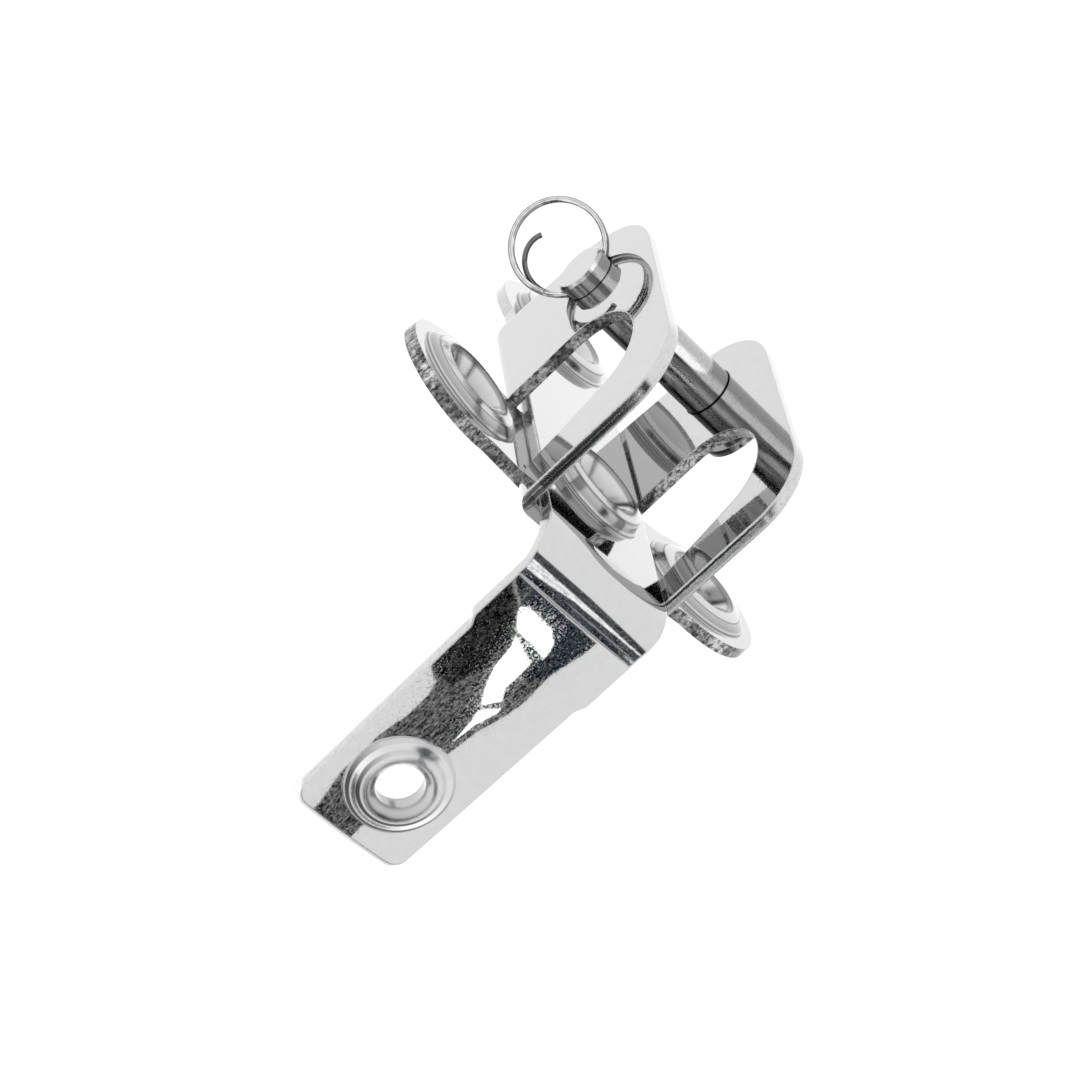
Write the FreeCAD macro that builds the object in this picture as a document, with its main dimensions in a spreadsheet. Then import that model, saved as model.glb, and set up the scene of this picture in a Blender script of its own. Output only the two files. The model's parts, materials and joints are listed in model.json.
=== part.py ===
import FreeCAD
import Part
import Sketcher
import math
import os
from FreeCAD import Placement, Rotation, Vector

# Bow plate for a small sailing boat, in millimetres.
# X points forward, Y to port, Z up.
# The origin lies in the middle boss axis, on the deck under the bracket.

SIZES = [
    ("sheet", 1.5, "thickness of every stamped sheet"),
    # bracket: upright cheeks
    ("cheek_gap", 18.9, "clear width between the cheeks"),
    ("bend_inner", 0.6, "inside radius where a cheek meets the web"),
    ("cheek_aft_x", -25.8, "aft edge of the cheeks"),
    ("cheek_foot_z", 1.2, "lower edge of the free aft panel"),
    ("cheek_peak_z", 24.2, "top line of the cheeks, produced to the aft edge"),
    ("cheek_brow_x", 10.1, "front upper corner before rounding, forward"),
    ("cheek_brow_z", 22.3, "front upper corner before rounding, height"),
    ("cheek_toe_x", 12.2, "front edge of the legs at the deck"),
    ("cheek_heel_radius", 1.8, "lower aft corner"),
    ("cheek_peak_radius", 8.0, "upper aft corner"),
    ("cheek_brow_radius", 8.0, "upper front corner"),
    # bracket: windows
    ("window_aft_x", -8.9, "aft lower corner of a window"),
    ("window_front_x", 7.9, "front lower corner of a window"),
    ("window_top_z", 18.75, "top of a window"),
    ("window_top_aft_x", -10.8, "aft side line at the top"),
    ("window_top_front_x", 3.1, "front side line at the top"),
    ("window_radius", 7.2, "rounding of the arched top"),
    # bracket: ears
    ("web_aft_x", -8.5, "aft edge of the web and of the ear necks"),
    ("ear_front_x", 7.5, "front edge of the ear necks"),
    ("ear_root_y", 9.5, "line about which an ear is tilted"),
    ("ear_tilt", 4.2, "upward tilt of an ear, degrees"),
    ("ear_reach", 8.9, "root line to the centre of the ear disc"),
    ("ear_x", -0.8, "centre of the ear disc, along the plate"),
    ("ear_radius", 8.8, "ear disc"),
    ("relief_x", 5.4, "relief hole beside the ear root, along the plate"),
    ("relief_radius", 0.45, "relief hole between ear and leg"),
    ("relief_y", 9.75, "relief hole, from the middle plane"),
    # screw bosses
    ("screw_radius", 2.65, "screw hole"),
    ("boss_wall", 1.2, "wall left over the hollow under a boss"),
    ("foot_flare", 0.4, "flare at the foot of a boss, outward and upward"),
    ("crown_round", 0.7, "rounding of the outer crown edge"),
    ("lip_break", 0.2, "broken edge of the countersink"),
    ("ear_boss_foot", 6.9, "ear boss, radius at its foot"),
    ("ear_boss_crown", 6.0, "ear boss, radius of the crown"),
    ("ear_boss_lip", 4.5, "ear boss, radius of the countersink"),
    ("ear_boss_drop", 0.35, "ear boss, fall of the crown to its edge"),
    ("ear_boss_rise", 1.3, "ear boss, height above the sheet"),
    ("middle_boss_foot", 6.4, "middle boss, radius at its foot"),
    ("middle_boss_crown", 6.05, "middle boss, radius of the crown"),
    ("middle_boss_lip", 4.7, "middle boss, radius of the countersink"),
    ("middle_boss_drop", 0.4, "middle boss, fall of the crown to its edge"),
    ("middle_boss_rise", 1.9, "middle boss, height above the sheet"),
    ("tail_boss_foot", 7.35, "tail boss, radius at its foot"),
    ("tail_boss_crown", 6.85, "tail boss, radius of the crown"),
    ("tail_boss_lip", 5.3, "tail boss, radius of the countersink"),
    ("tail_boss_drop", 0.4, "tail boss, fall of the crown to its edge"),
    ("tail_boss_rise", 1.75, "tail boss, height above the sheet"),
    ("stem_boss_foot", 5.4, "stem boss, radius at its foot"),
    ("stem_boss_crown", 4.6, "stem boss, radius of the crown"),
    ("stem_boss_lip", 3.6, "stem boss, radius of the countersink"),
    ("stem_boss_drop", 0.55, "stem boss, fall of the crown to its edge"),
    ("stem_boss_rise", 1.2, "stem boss, height above the sheet"),
    # deck strap
    ("strap_width", 17.7, "width on the deck"),
    ("tail_x", -37.4, "centre of the round tail and of its boss"),
    ("tail_radius", 9.8, "round tail"),
    ("bend_outer", 5.4, "outside radius of the bend over the bow"),
    ("stem_corner_x", 18.9, "top face and stem face lines meet here"),
    ("stem_lean", 5.9, "stem leans forward of upright, degrees"),
    ("stem_flat", 5.8, "corner to the crease under the bend, along the stem"),
    ("stem_crown", 0.55, "arch of the stem across its width"),
    ("stem_upper_half", 8.35, "half width above the step"),
    ("stem_step_z", -8.8, "upper end of the width step"),
    ("stem_step_drop", 1.1, "height of the width step"),
    ("stem_lower_half", 7.75, "half width just below the step"),
    ("stem_end_half", 7.4, "half width at the lower end"),
    ("stem_end_radius", 1.6, "lower corners of the stem"),
    ("stem_step_radius", 0.6, "roundings of the width step"),
    ("stem_hole_run", 30.9, "corner to the screw hole, along the stem"),
    ("stem_below_hole", 8.0, "screw hole to the lower end, along the stem"),
    # clevis pin
    ("pin_x", -18.9, "pin axis, along the plate"),
    ("pin_z", 15.3, "pin axis, above the deck"),
    ("pin_radius", 3.175, "pin shank"),
    ("pin_clearance", 0.08, "radial clearance in the cheek bores"),
    ("pin_tail_y", -12.9, "tail end of the pin"),
    ("pin_chamfer", 0.3, "tail chamfer"),
    ("pin_head_y", 14.5, "under face of the head"),
    ("pin_head_thick", 1.0, "head"),
    ("pin_head_radius", 5.1, "head"),
    ("pin_head_break", 0.25, "broken edges of the head rim"),
    ("ring_hole_y", -11.15, "cross hole for the split ring"),
    ("ring_hole_radius", 1.2, "cross hole"),
    ("pin_turn", 10.7, "turn of the cross hole from upright, top aft, degrees"),
    # split ring
    ("ring_radius", 5.35, "middle line of the coil"),
    ("ring_wire", 0.66, "wire diameter"),
    ("ring_pitch", 0.72, "distance between the two coils"),
    ("ring_swing", 33.0, "swing of the ring aft of straight out, degrees"),
    ("ring_inner_angle", 188.0, "bearing of the inner wire end, degrees"),
    ("ring_inner_reach", 2.5, "inner wire end, from the ring centre"),
    ("ring_join_angle", 325.0, "bearing where the inner tail reaches the coil, degrees"),
    ("ring_outer_angle", 1018.0, "bearing of the outer wire end, turns counted, degrees"),
]

doc = FreeCAD.newDocument("bow_plate")
sizes = doc.addObject("Spreadsheet::Sheet", "sizes")
for row, (name, number, meaning) in enumerate(SIZES, start=1):
    sizes.set("A%d" % row, name)
    sizes.set("B%d" % row, str(number))
    sizes.set("C%d" % row, meaning)
    sizes.setAlias("B%d" % row, name)
doc.recompute()


def value(expression):
    """Number of a size expression such as 'sizes.sheet * 2'."""
    return float(sizes.evalExpression(expression))


def at(name):
    """Number of one named size."""
    return float(sizes.get(name))


def new_body(name):
    body = doc.addObject("PartDesign::Body", name)
    body.Label = name
    return body


def new_sketch(body, name, role, shift=("0", "0", "0"), axis=Vector(0, 0, 1), angle="0"):
    """Sketch on an origin plane, shifted and turned in the plane's own frame."""
    sketch = body.newObject("Sketcher::SketchObject", name)
    plane = [item for item in body.Origin.OriginFeatures if item.Role == role][0]
    sketch.AttachmentSupport = [(plane, "")]
    sketch.MapMode = "FlatFace"
    base = Vector(*[value(part) for part in shift])
    sketch.AttachmentOffset = Placement(base, Rotation(axis, value(angle)))
    for letter, part in zip("xyz", shift):
        if part != "0":
            sketch.setExpression("AttachmentOffset.Base." + letter, part)
    if angle != "0":
        sketch.setExpression("AttachmentOffset.Rotation.Angle", angle)
    return sketch


def bind(sketch, kind, places, expression):
    """Constraint of the given kind whose value follows a size expression."""
    index = sketch.addConstraint(Sketcher.Constraint(kind, *places, value(expression)))
    sketch.setExpression("Constraints[%d]" % index, expression)


def pin_point(sketch, geometry, place, x, y):
    bind(sketch, "DistanceX", (-1, 1, geometry, place), x)
    bind(sketch, "DistanceY", (-1, 1, geometry, place), y)


def add_circle(sketch, x, y, radius):
    circle = Part.Circle(Vector(value(x), value(y), 0), Vector(0, 0, 1), value(radius))
    index = sketch.addGeometry(circle)
    pin_point(sketch, index, 3, x, y)
    bind(sketch, "Radius", (index,), radius)


def corner_arc(before, corner, after, radius):
    """Tangent arc in a corner: its geometry and whether it runs backwards."""
    back = (before - corner).normalize()
    ahead = (after - corner).normalize()
    half = math.acos(max(-1.0, min(1.0, back.dot(ahead)))) / 2
    reach = radius / math.tan(half)
    start = corner + back * reach
    end = corner + ahead * reach
    centre = corner + (back + ahead).normalize() * (radius / math.sin(half))
    first = math.atan2(start.y - centre.y, start.x - centre.x)
    last = math.atan2(end.y - centre.y, end.x - centre.x)
    backwards = back.x * ahead.y - back.y * ahead.x > 0
    if backwards:
        first, last = last, first
    if last < first:
        last += 2 * math.pi
    circle = Part.Circle(centre, Vector(0, 0, 1), radius)
    return Part.ArcOfCircle(circle, first, last), start, end, backwards


def add_outline(sketch, corners):
    """Closed outline through (x, y, radius) corners given as size expressions."""
    count = len(corners)
    points = [Vector(value(x), value(y), 0) for x, y, radius in corners]
    arcs = []
    for i, (x, y, radius) in enumerate(corners):
        if radius is None:
            arcs.append(None)
        else:
            arcs.append(corner_arc(points[i - 1], points[i], points[(i + 1) % count], value(radius)))
    lines = []
    for i in range(count):
        start = arcs[i][2] if arcs[i] else points[i]
        following = arcs[(i + 1) % count]
        end = following[1] if following else points[(i + 1) % count]
        lines.append(sketch.addGeometry(Part.LineSegment(start, end)))
    for i, (x, y, radius) in enumerate(corners):
        before, after = lines[i - 1], lines[i]
        if radius is None:
            sketch.addConstraint(Sketcher.Constraint("Coincident", before, 2, after, 1))
            pin_point(sketch, after, 1, x, y)
            continue
        arc = sketch.addGeometry(arcs[i][0])
        entry, leave = (2, 1) if arcs[i][3] else (1, 2)
        sketch.addConstraint(Sketcher.Constraint("Tangent", before, 2, arc, entry))
        sketch.addConstraint(Sketcher.Constraint("Tangent", arc, leave, after, 1))
        bind(sketch, "Radius", (arc,), radius)
        corner = sketch.addGeometry(Part.Point(points[i]), True)
        pin_point(sketch, corner, 1, x, y)
        sketch.addConstraint(Sketcher.Constraint("PointOnObject", corner, 1, before))
        sketch.addConstraint(Sketcher.Constraint("PointOnObject", corner, 1, after))


def add_box(sketch, x0, y0, x1, y1):
    add_outline(sketch, [(x0, y0, None), (x1, y0, None), (x1, y1, None), (x0, y1, None)])


def pad(body, name, sketch, length):
    feature = body.newObject("PartDesign::Pad", name)
    feature.Profile = sketch
    feature.setExpression("Length", length)
    return finish(body, sketch, feature, 1)


def pocket(body, name, sketch, length):
    feature = body.newObject("PartDesign::Pocket", name)
    feature.Profile = sketch
    feature.setExpression("Length", length)
    return finish(body, sketch, feature, -1)


def turn(body, name, sketch, axis, kind="Revolution"):
    feature = body.newObject("PartDesign::" + kind, name)
    feature.Profile = sketch
    feature.ReferenceAxis = (sketch, [axis])
    feature.Angle = 360
    return finish(body, sketch, feature, 1 if kind == "Revolution" else -1)


def mirror(body, name, originals, role):
    plane = [item for item in body.Origin.OriginFeatures if item.Role == role][0]
    feature = body.newObject("PartDesign::Mirrored", name)
    feature.Originals = originals
    feature.MirrorPlane = (plane, [""])
    body.Tip = feature
    doc.recompute()
    return feature


def finish(body, sketch, feature, sign):
    """Recompute and make sure that the feature added or removed material."""
    before = body.Shape.Volume if body.Shape and not body.Shape.isNull() else 0.0
    body.Tip = feature
    doc.recompute()
    sketch.Visibility = False
    if sign * (body.Shape.Volume - before) <= 0:
        raise ValueError(feature.Name + " does not change the body as meant")
    return feature


def add_boss(body, name, size, role, shift, axis=Vector(0, 0, 1), angle="0", hollow=True):
    """Pressed, countersunk screw boss; the sketch origin is on the under face."""
    def own(part):
        return "sizes.%s_boss_%s" % (size, part)

    top = "sizes.sheet + " + own("rise")
    plate = new_sketch(body, name + "_crown_sketch", role, shift, axis, angle)
    add_outline(plate, [
        ("0", "sizes.sheet / 2", None),
        (own("foot") + " + sizes.foot_flare", "sizes.sheet / 2", None),
        (own("foot") + " + sizes.foot_flare", "sizes.sheet", None),
        (own("foot"), "sizes.sheet + sizes.foot_flare", None),
        (own("crown"), top + " - " + own("drop"), "sizes.crown_round"),
        (own("lip"), top, None),
        ("0", top, None),
    ])
    crown = turn(body, name + "_crown", plate, "V_Axis")
    slope = "%s / (%s - %s)" % (own("drop"), own("crown"), own("lip"))
    cone = new_sketch(body, name + "_sink_sketch", role, shift, axis, angle)
    add_outline(cone, [
        ("0", "-sizes.sheet", None),
        ("sizes.screw_radius", "-sizes.sheet", None),
        ("sizes.screw_radius", "%s - %s + sizes.screw_radius" % (top, own("lip")), None),
        (own("lip") + " - sizes.lip_break", top + " - sizes.lip_break", None),
        (own("lip") + " + sizes.lip_break", "%s - sizes.lip_break * %s" % (top, slope), None),
        (own("crown"), top + " - " + own("drop"), None),
        (own("crown"), top + " + sizes.sheet", None),
        ("0", top + " + sizes.sheet", None),
    ])
    sink = turn(body, name + "_sink", cone, "V_Axis", "Groove")
    if not hollow:
        return [crown, sink]
    inner = "%s - (%s) + sizes.boss_wall * sqrt(2)" % (own("lip"), top)
    outer = own("crown") + " - sizes.boss_wall"
    under = new_sketch(body, name + "_hollow_sketch", role, shift, axis, angle)
    add_outline(under, [
        (inner, "-sizes.sheet / 2", None),
        (outer, "-sizes.sheet / 2", None),
        (outer, "%s - (%s)" % (outer, inner), None),
        (inner, "0", None),
    ])
    return [crown, sink, turn(body, name + "_hollow", under, "V_Axis", "Groove")]


# Lower plate: web, two upright cheeks with windows, two ears.
bracket = new_body("bracket")

half_gap = "sizes.cheek_gap / 2"
half_out = "(sizes.cheek_gap / 2 + sizes.sheet)"
bend_out = "(sizes.bend_inner + sizes.sheet)"
roof = "(sizes.cheek_peak_z + sizes.sheet)"
aft_end = "(sizes.cheek_aft_x - sizes.sheet)"
fore_end = "(sizes.cheek_toe_x + sizes.sheet)"

channel = new_sketch(bracket, "channel_sketch", "YZ_Plane", ("0", "0", aft_end))
add_outline(channel, [
    ("-" + half_out, roof, None),
    ("-" + half_out, "0", bend_out),
    (half_out, "0", bend_out),
    (half_out, roof, None),
    (half_gap, roof, None),
    (half_gap, "sizes.sheet", "sizes.bend_inner"),
    ("-" + half_gap, "sizes.sheet", "sizes.bend_inner"),
    ("-" + half_gap, roof, None),
])
pad(bracket, "channel", channel, fore_end + " - " + aft_end)

beyond = "(" + half_out + " + sizes.sheet)"
trim = new_sketch(bracket, "cheek_outline_sketch", "XZ_Plane", ("0", "0", beyond))
add_box(
    trim, aft_end + " - sizes.sheet", "-sizes.sheet",
    fore_end + " + sizes.sheet", roof + " + sizes.sheet",
)
add_outline(trim, [
    ("sizes.cheek_aft_x", "sizes.cheek_foot_z", "sizes.cheek_heel_radius"),
    ("sizes.cheek_aft_x", "sizes.cheek_peak_z", "sizes.cheek_peak_radius"),
    ("sizes.cheek_brow_x", "sizes.cheek_brow_z", "sizes.cheek_brow_radius"),
    ("sizes.cheek_toe_x", "0", None),
    ("sizes.web_aft_x", "0", None),
    ("sizes.web_aft_x", "sizes.cheek_foot_z", None),
])
pocket(bracket, "cheek_outline", trim, "2 * " + beyond)

over_web = "(sizes.sheet + sizes.bend_inner)"
clear = new_sketch(bracket, "web_end_sketch", "XY_Plane", ("0", "0", over_web))
add_box(clear, aft_end, "-" + half_gap, "sizes.web_aft_x", half_gap)
pocket(bracket, "web_end", clear, "2 * " + over_web)

window = new_sketch(bracket, "windows_sketch", "XZ_Plane", ("0", "0", beyond))
add_outline(window, [
    ("sizes.window_aft_x", "sizes.sheet", None),
    ("sizes.window_front_x", "sizes.sheet", None),
    ("sizes.window_top_front_x", "sizes.window_top_z", "sizes.window_radius"),
    ("sizes.window_top_aft_x", "sizes.window_top_z", "sizes.window_radius"),
])
pocket(bracket, "windows", window, "2 * " + beyond)

bores = new_sketch(bracket, "pin_bores_sketch", "XZ_Plane", ("0", "0", beyond))
add_circle(bores, "sizes.pin_x", "sizes.pin_z", "sizes.pin_radius + sizes.pin_clearance")
pocket(bracket, "pin_bores", bores, "2 * " + beyond)

side_tilt = Vector(1, 0, 0)
ear_root = ("0", "sizes.ear_root_y", "0")
neck = new_sketch(bracket, "ear_neck_sketch", "XY_Plane", ear_root, side_tilt, "sizes.ear_tilt")
add_box(neck, "sizes.web_aft_x", "0", "sizes.ear_front_x", "sizes.ear_reach")
ear_parts = [pad(bracket, "ear_neck", neck, "sizes.sheet")]
disc = new_sketch(bracket, "ear_disc_sketch", "XY_Plane", ear_root, side_tilt, "sizes.ear_tilt")
add_circle(disc, "sizes.ear_x", "sizes.ear_reach", "sizes.ear_radius")
ear_parts.append(pad(bracket, "ear_disc", disc, "sizes.sheet"))
ear_seat = (
    "sizes.ear_x",
    "sizes.ear_reach * sin(sizes.ear_tilt)",
    "-(sizes.ear_root_y + sizes.ear_reach * cos(sizes.ear_tilt))",
)
ear_parts += add_boss(bracket, "ear", "ear", "XZ_Plane", ear_seat, side_tilt, "sizes.ear_tilt")
mirror(bracket, "ears", ear_parts, "XZ_Plane")

holes = new_sketch(bracket, "web_holes_sketch", "XY_Plane", ("0", "0", over_web))
add_circle(holes, "0", "0", "sizes.screw_radius")
add_circle(holes, "sizes.relief_x", "sizes.relief_y", "sizes.relief_radius")
add_circle(holes, "sizes.relief_x", "-sizes.relief_y", "sizes.relief_radius")
pocket(bracket, "web_holes", holes, "2 * " + over_web)

# Upper plate: strap over the web, round tail, bend and hanging stem.
strap = new_body("deck_strap")

lean_sin = "sin(sizes.stem_lean)"
lean_cos = "cos(sizes.stem_lean)"
deck_top = "(2 * sizes.sheet)"
stub_x = "(sizes.stem_corner_x + sizes.stem_flat * %s)" % lean_sin
stub_z = "(%s - sizes.stem_flat * %s)" % (deck_top, lean_cos)
half_strap = "(sizes.strap_width / 2)"

inner_corner = "sizes.stem_corner_x - sizes.sheet / tan(45 + sizes.stem_lean / 2)"
profile = new_sketch(strap, "side_profile_sketch", "XZ_Plane", ("0", "0", "-" + half_strap))
add_outline(profile, [
    ("sizes.tail_x", "sizes.sheet", None),
    (inner_corner, "sizes.sheet", "sizes.bend_outer - sizes.sheet"),
    (stub_x + " - sizes.sheet * " + lean_cos, stub_z + " - sizes.sheet * " + lean_sin, None),
    (stub_x, stub_z, None),
    ("sizes.stem_corner_x", deck_top, "sizes.bend_outer"),
    ("sizes.tail_x", deck_top, None),
])
pad(strap, "side_profile", profile, "sizes.strap_width")

tail = new_sketch(strap, "tail_sketch", "XY_Plane", ("0", "0", "sizes.sheet"))
add_circle(tail, "sizes.tail_x", "0", "sizes.tail_radius")
pad(strap, "tail", tail, "sizes.sheet")

stem_length = "(sizes.stem_hole_run + sizes.stem_below_hole)"
stem_end_z = "(%s - %s * %s)" % (deck_top, stem_length, lean_cos)
stem_run = "(%s + sizes.sheet)" % stem_length
stem_low_x = "sizes.stem_corner_x + %s * %s" % (stem_run, lean_sin)
stem_low_z = "%s - %s * %s" % (deck_top, stem_run, lean_cos)
stem_low = (stem_low_x, "0", stem_low_z)
across = Vector(0, 1, 0)
arch = new_sketch(strap, "stem_section_sketch", "XY_Plane", stem_low, across, "-sizes.stem_lean")
arch_radius = "((%s ^ 2 + sizes.stem_crown ^ 2) / (2 * sizes.stem_crown))" % half_strap
edges = []
reach = value(half_strap)
for back in ("0", "-sizes.sheet"):
    depth = value(back)
    middle = Vector(depth + at("stem_crown"), 0, 0)
    arc = Part.Arc(Vector(depth, -reach, 0), middle, Vector(depth, reach, 0))
    edges.append(arch.addGeometry(arc))
    pin_point(arch, edges[-1], 1, back, "-" + half_strap)
    pin_point(arch, edges[-1], 2, back, half_strap)
    bind(arch, "Radius", (edges[-1],), arch_radius)
for place in (1, 2):
    first, second = arch.getPoint(edges[0], place), arch.getPoint(edges[1], place)
    side = arch.addGeometry(Part.LineSegment(first, second))
    arch.addConstraint(Sketcher.Constraint("Coincident", side, 1, edges[0], place))
    arch.addConstraint(Sketcher.Constraint("Coincident", side, 2, edges[1], place))
pad(strap, "stem", arch, stem_run + " - sizes.stem_flat + sizes.sheet / 10")

ahead = "sizes.stem_corner_x + 2 * sizes.bend_outer"
edge_cut = new_sketch(strap, "stem_edge_sketch", "YZ_Plane", ("0", "0", ahead))
outside = "(%s + sizes.sheet)" % half_strap
below = "(%s - 3 * sizes.sheet)" % stem_end_z
add_outline(edge_cut, [
    (outside, "sizes.sheet", None),
    (half_strap, "sizes.sheet", None),
    ("sizes.stem_upper_half", "-sizes.sheet", None),
    ("sizes.stem_upper_half", "sizes.stem_step_z", "sizes.stem_step_radius"),
    ("sizes.stem_lower_half", "sizes.stem_step_z - sizes.stem_step_drop", "sizes.stem_step_radius"),
    ("sizes.stem_end_half", stem_end_z, "sizes.stem_end_radius"),
    ("-sizes.sheet", stem_end_z, None),
    ("-sizes.sheet", below, None),
    (outside, below, None),
])
narrowed = pocket(strap, "stem_edge", edge_cut, "4 * sizes.bend_outer")
mirror(strap, "stem_edges", [narrowed], "XZ_Plane")

add_boss(strap, "middle", "middle", "XZ_Plane", ("0", "sizes.sheet", "0"))
add_boss(strap, "aft", "tail", "XZ_Plane", ("sizes.tail_x", "sizes.sheet", "0"))
back_face = "(sizes.stem_crown - sizes.sheet)"
stem_screw = (
    "sizes.stem_corner_x + sizes.stem_hole_run * %s + %s * %s" % (lean_sin, back_face, lean_cos),
    "%s - sizes.stem_hole_run * %s + %s * %s" % (deck_top, lean_cos, back_face, lean_sin),
    "0",
)
upright = Vector(0, 0, 1)
add_boss(
    strap, "stem_boss", "stem", "XZ_Plane", stem_screw,
    upright, "sizes.stem_lean - 90", hollow=False,
)

# Clevis pin through both cheeks, with its head to port.
pin = new_body("clevis_pin")
head_end = "(sizes.pin_head_y + sizes.pin_head_thick)"
shank = new_sketch(pin, "pin_sketch", "XY_Plane", ("sizes.pin_x", "0", "sizes.pin_z"))
add_outline(shank, [
    ("0", "sizes.pin_tail_y", None),
    ("sizes.pin_radius - sizes.pin_chamfer", "sizes.pin_tail_y", None),
    ("sizes.pin_radius", "sizes.pin_tail_y + sizes.pin_chamfer", None),
    ("sizes.pin_radius", "sizes.pin_head_y", None),
    ("sizes.pin_head_radius - sizes.pin_head_break", "sizes.pin_head_y", None),
    ("sizes.pin_head_radius", "sizes.pin_head_y + sizes.pin_head_break", None),
    ("sizes.pin_head_radius", head_end + " - sizes.pin_head_break", None),
    ("sizes.pin_head_radius - sizes.pin_head_break", head_end, None),
    ("0", head_end, None),
])
turn(pin, "shank", shank, "V_Axis")
drill_start = "(sizes.pin_radius + sizes.sheet)"
drill_entry = (
    "sizes.pin_x - %s * sin(sizes.pin_turn)" % drill_start,
    "sizes.ring_hole_y",
    "sizes.pin_z + %s * cos(sizes.pin_turn)" % drill_start,
)
drill = new_sketch(pin, "ring_hole_sketch", "XY_Plane", drill_entry, across, "-sizes.pin_turn")
add_circle(drill, "0", "0", "sizes.ring_hole_radius")
pocket(pin, "ring_hole", drill, "2 * " + drill_start)


# Split ring: its wire goes through the pin hole twice, half a pitch either side of its middle.
FULL_TURN = 360.0
COIL_POINTS = 40
WIRE_SIDES = 12


def coil_point(bearing):
    """Middle of the wire at a bearing counted on through the turns."""
    first, join = at("ring_inner_angle"), at("ring_join_angle")
    radius, inner = at("ring_radius"), at("ring_inner_reach")
    share = min(1.0, (bearing - first) / (join - first))
    reach = inner + (radius - inner) * math.sin(share * math.pi / 2)
    turns = max(1.0, bearing / FULL_TURN)
    angle = math.radians(bearing)
    return Vector(reach * math.cos(angle), reach * math.sin(angle), at("ring_pitch") * (turns - 1.5))


def ring_shape():
    """Coiled wire in its own frame: x to the pin hole, y along the hole."""
    first, last = at("ring_inner_angle"), at("ring_outer_angle")
    path = Part.BSplineCurve()
    path.interpolate([
        coil_point(first + (last - first) * step / COIL_POINTS) for step in range(COIL_POINTS + 1)
    ])
    along = path.tangent(path.FirstParameter)[0]
    sideways = along.cross(Vector(0, 0, 1)).normalize() * (at("ring_wire") / 2)
    corners = []
    for side in range(WIRE_SIDES + 1):
        turned = Rotation(along, FULL_TURN * side / WIRE_SIDES)
        corners.append(path.StartPoint + turned.multVec(sideways))
    return Part.Wire([path.toShape()]).makePipeShell([Part.makePolygon(corners)], True, True)


ring = doc.addObject("Part::Feature", "split_ring")
ring.Label = "split_ring"
ring.Shape = ring_shape()
turned, swung = math.radians(at("pin_turn")), math.radians(at("ring_swing"))
hole_axis = Vector(-math.sin(turned), 0, math.cos(turned))
aft_down = Vector(-math.cos(turned), 0, -math.sin(turned))
to_centre = Vector(0, -math.cos(swung), 0) + aft_down * math.sin(swung)
chord = math.sqrt(at("ring_radius") ** 2 - at("pin_radius") ** 2)
offset = (at("ring_radius") + chord) / 2
centre = Vector(at("pin_x"), at("ring_hole_y"), at("pin_z")) + to_centre * offset
to_hole = to_centre * -1
ring.Placement = Placement(centre, Rotation(to_hole, hole_axis, to_hole.cross(hole_axis), "ZXY"))
doc.recompute()

os.makedirs("parts", exist_ok=True)
for node in (bracket, strap, pin, ring):
    bad = [item.Name for item in doc.Objects if "Invalid" in item.State or "Error" in item.State]
    if bad or node.Shape.isNull() or not node.Shape.isValid():
        raise ValueError("bad shape: %s %s" % (node.Label, bad))
    node.Shape.exportStep("parts/%s.step" % node.Label)
    print(node.Label, "volume %.1f" % node.Shape.Volume, node.Shape.BoundBox)
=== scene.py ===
import json
import math
from collections import namedtuple

import bpy
from mathutils import Matrix, Vector


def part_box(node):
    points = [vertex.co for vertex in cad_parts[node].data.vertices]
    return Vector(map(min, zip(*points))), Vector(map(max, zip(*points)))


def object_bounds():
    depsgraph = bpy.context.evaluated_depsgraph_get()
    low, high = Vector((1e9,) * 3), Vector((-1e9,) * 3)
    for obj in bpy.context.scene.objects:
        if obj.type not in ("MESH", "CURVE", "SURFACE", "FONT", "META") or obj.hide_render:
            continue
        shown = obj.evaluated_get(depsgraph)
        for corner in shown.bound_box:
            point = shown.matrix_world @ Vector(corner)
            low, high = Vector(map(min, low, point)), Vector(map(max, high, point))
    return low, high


# Bow plate in polished stainless steel, on a white studio floor.
# X points forward, Y to port, Z up. Sizes are in millimetres unless named otherwise.
MM = 0.001

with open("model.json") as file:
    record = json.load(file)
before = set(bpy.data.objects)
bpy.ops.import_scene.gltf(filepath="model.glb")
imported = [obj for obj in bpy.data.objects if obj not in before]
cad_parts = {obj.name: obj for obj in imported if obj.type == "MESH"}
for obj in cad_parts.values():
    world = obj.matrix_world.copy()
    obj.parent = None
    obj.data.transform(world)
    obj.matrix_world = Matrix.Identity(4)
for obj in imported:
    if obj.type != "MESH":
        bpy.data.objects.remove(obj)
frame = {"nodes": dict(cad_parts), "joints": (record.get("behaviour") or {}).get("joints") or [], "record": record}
cad_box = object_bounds()
nodes = frame["nodes"]
scene = bpy.context.scene
scene.view_settings.view_transform = "Standard"


# Places on the part, worked out from its record where it holds them.
def named(rows, name):
    return next(row for row in rows if row["name"] == name)


def place_of(row):
    return Vector(row["pos_m"]) / MM


def screw(name):
    """Place and axis of a screw hole."""
    mount = named(frame["record"]["mounts"], name)
    return place_of(mount), Vector(mount["axis"])


UP = Vector((0.0, 0.0, 1.0))
TAIL_CENTRE = 2.0 * place_of(named(frame["record"]["mounts"], "deck_line"))
PIN_CENTRE = place_of(named(frame["joints"], "pin_turn"))
STEM_END_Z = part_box("deck_strap")[0].z / MM

SHEET = 1.5
CHEEK_IN = 9.45
CHEEK_OUT = CHEEK_IN + SHEET
WINDOW_X = (-11.5, 8.5)
WINDOW_Z = (1.4, 19.3)
RING_CENTRE = Vector((-21.484, -15.199, 14.812))
RING_RADIUS = 5.35


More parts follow.
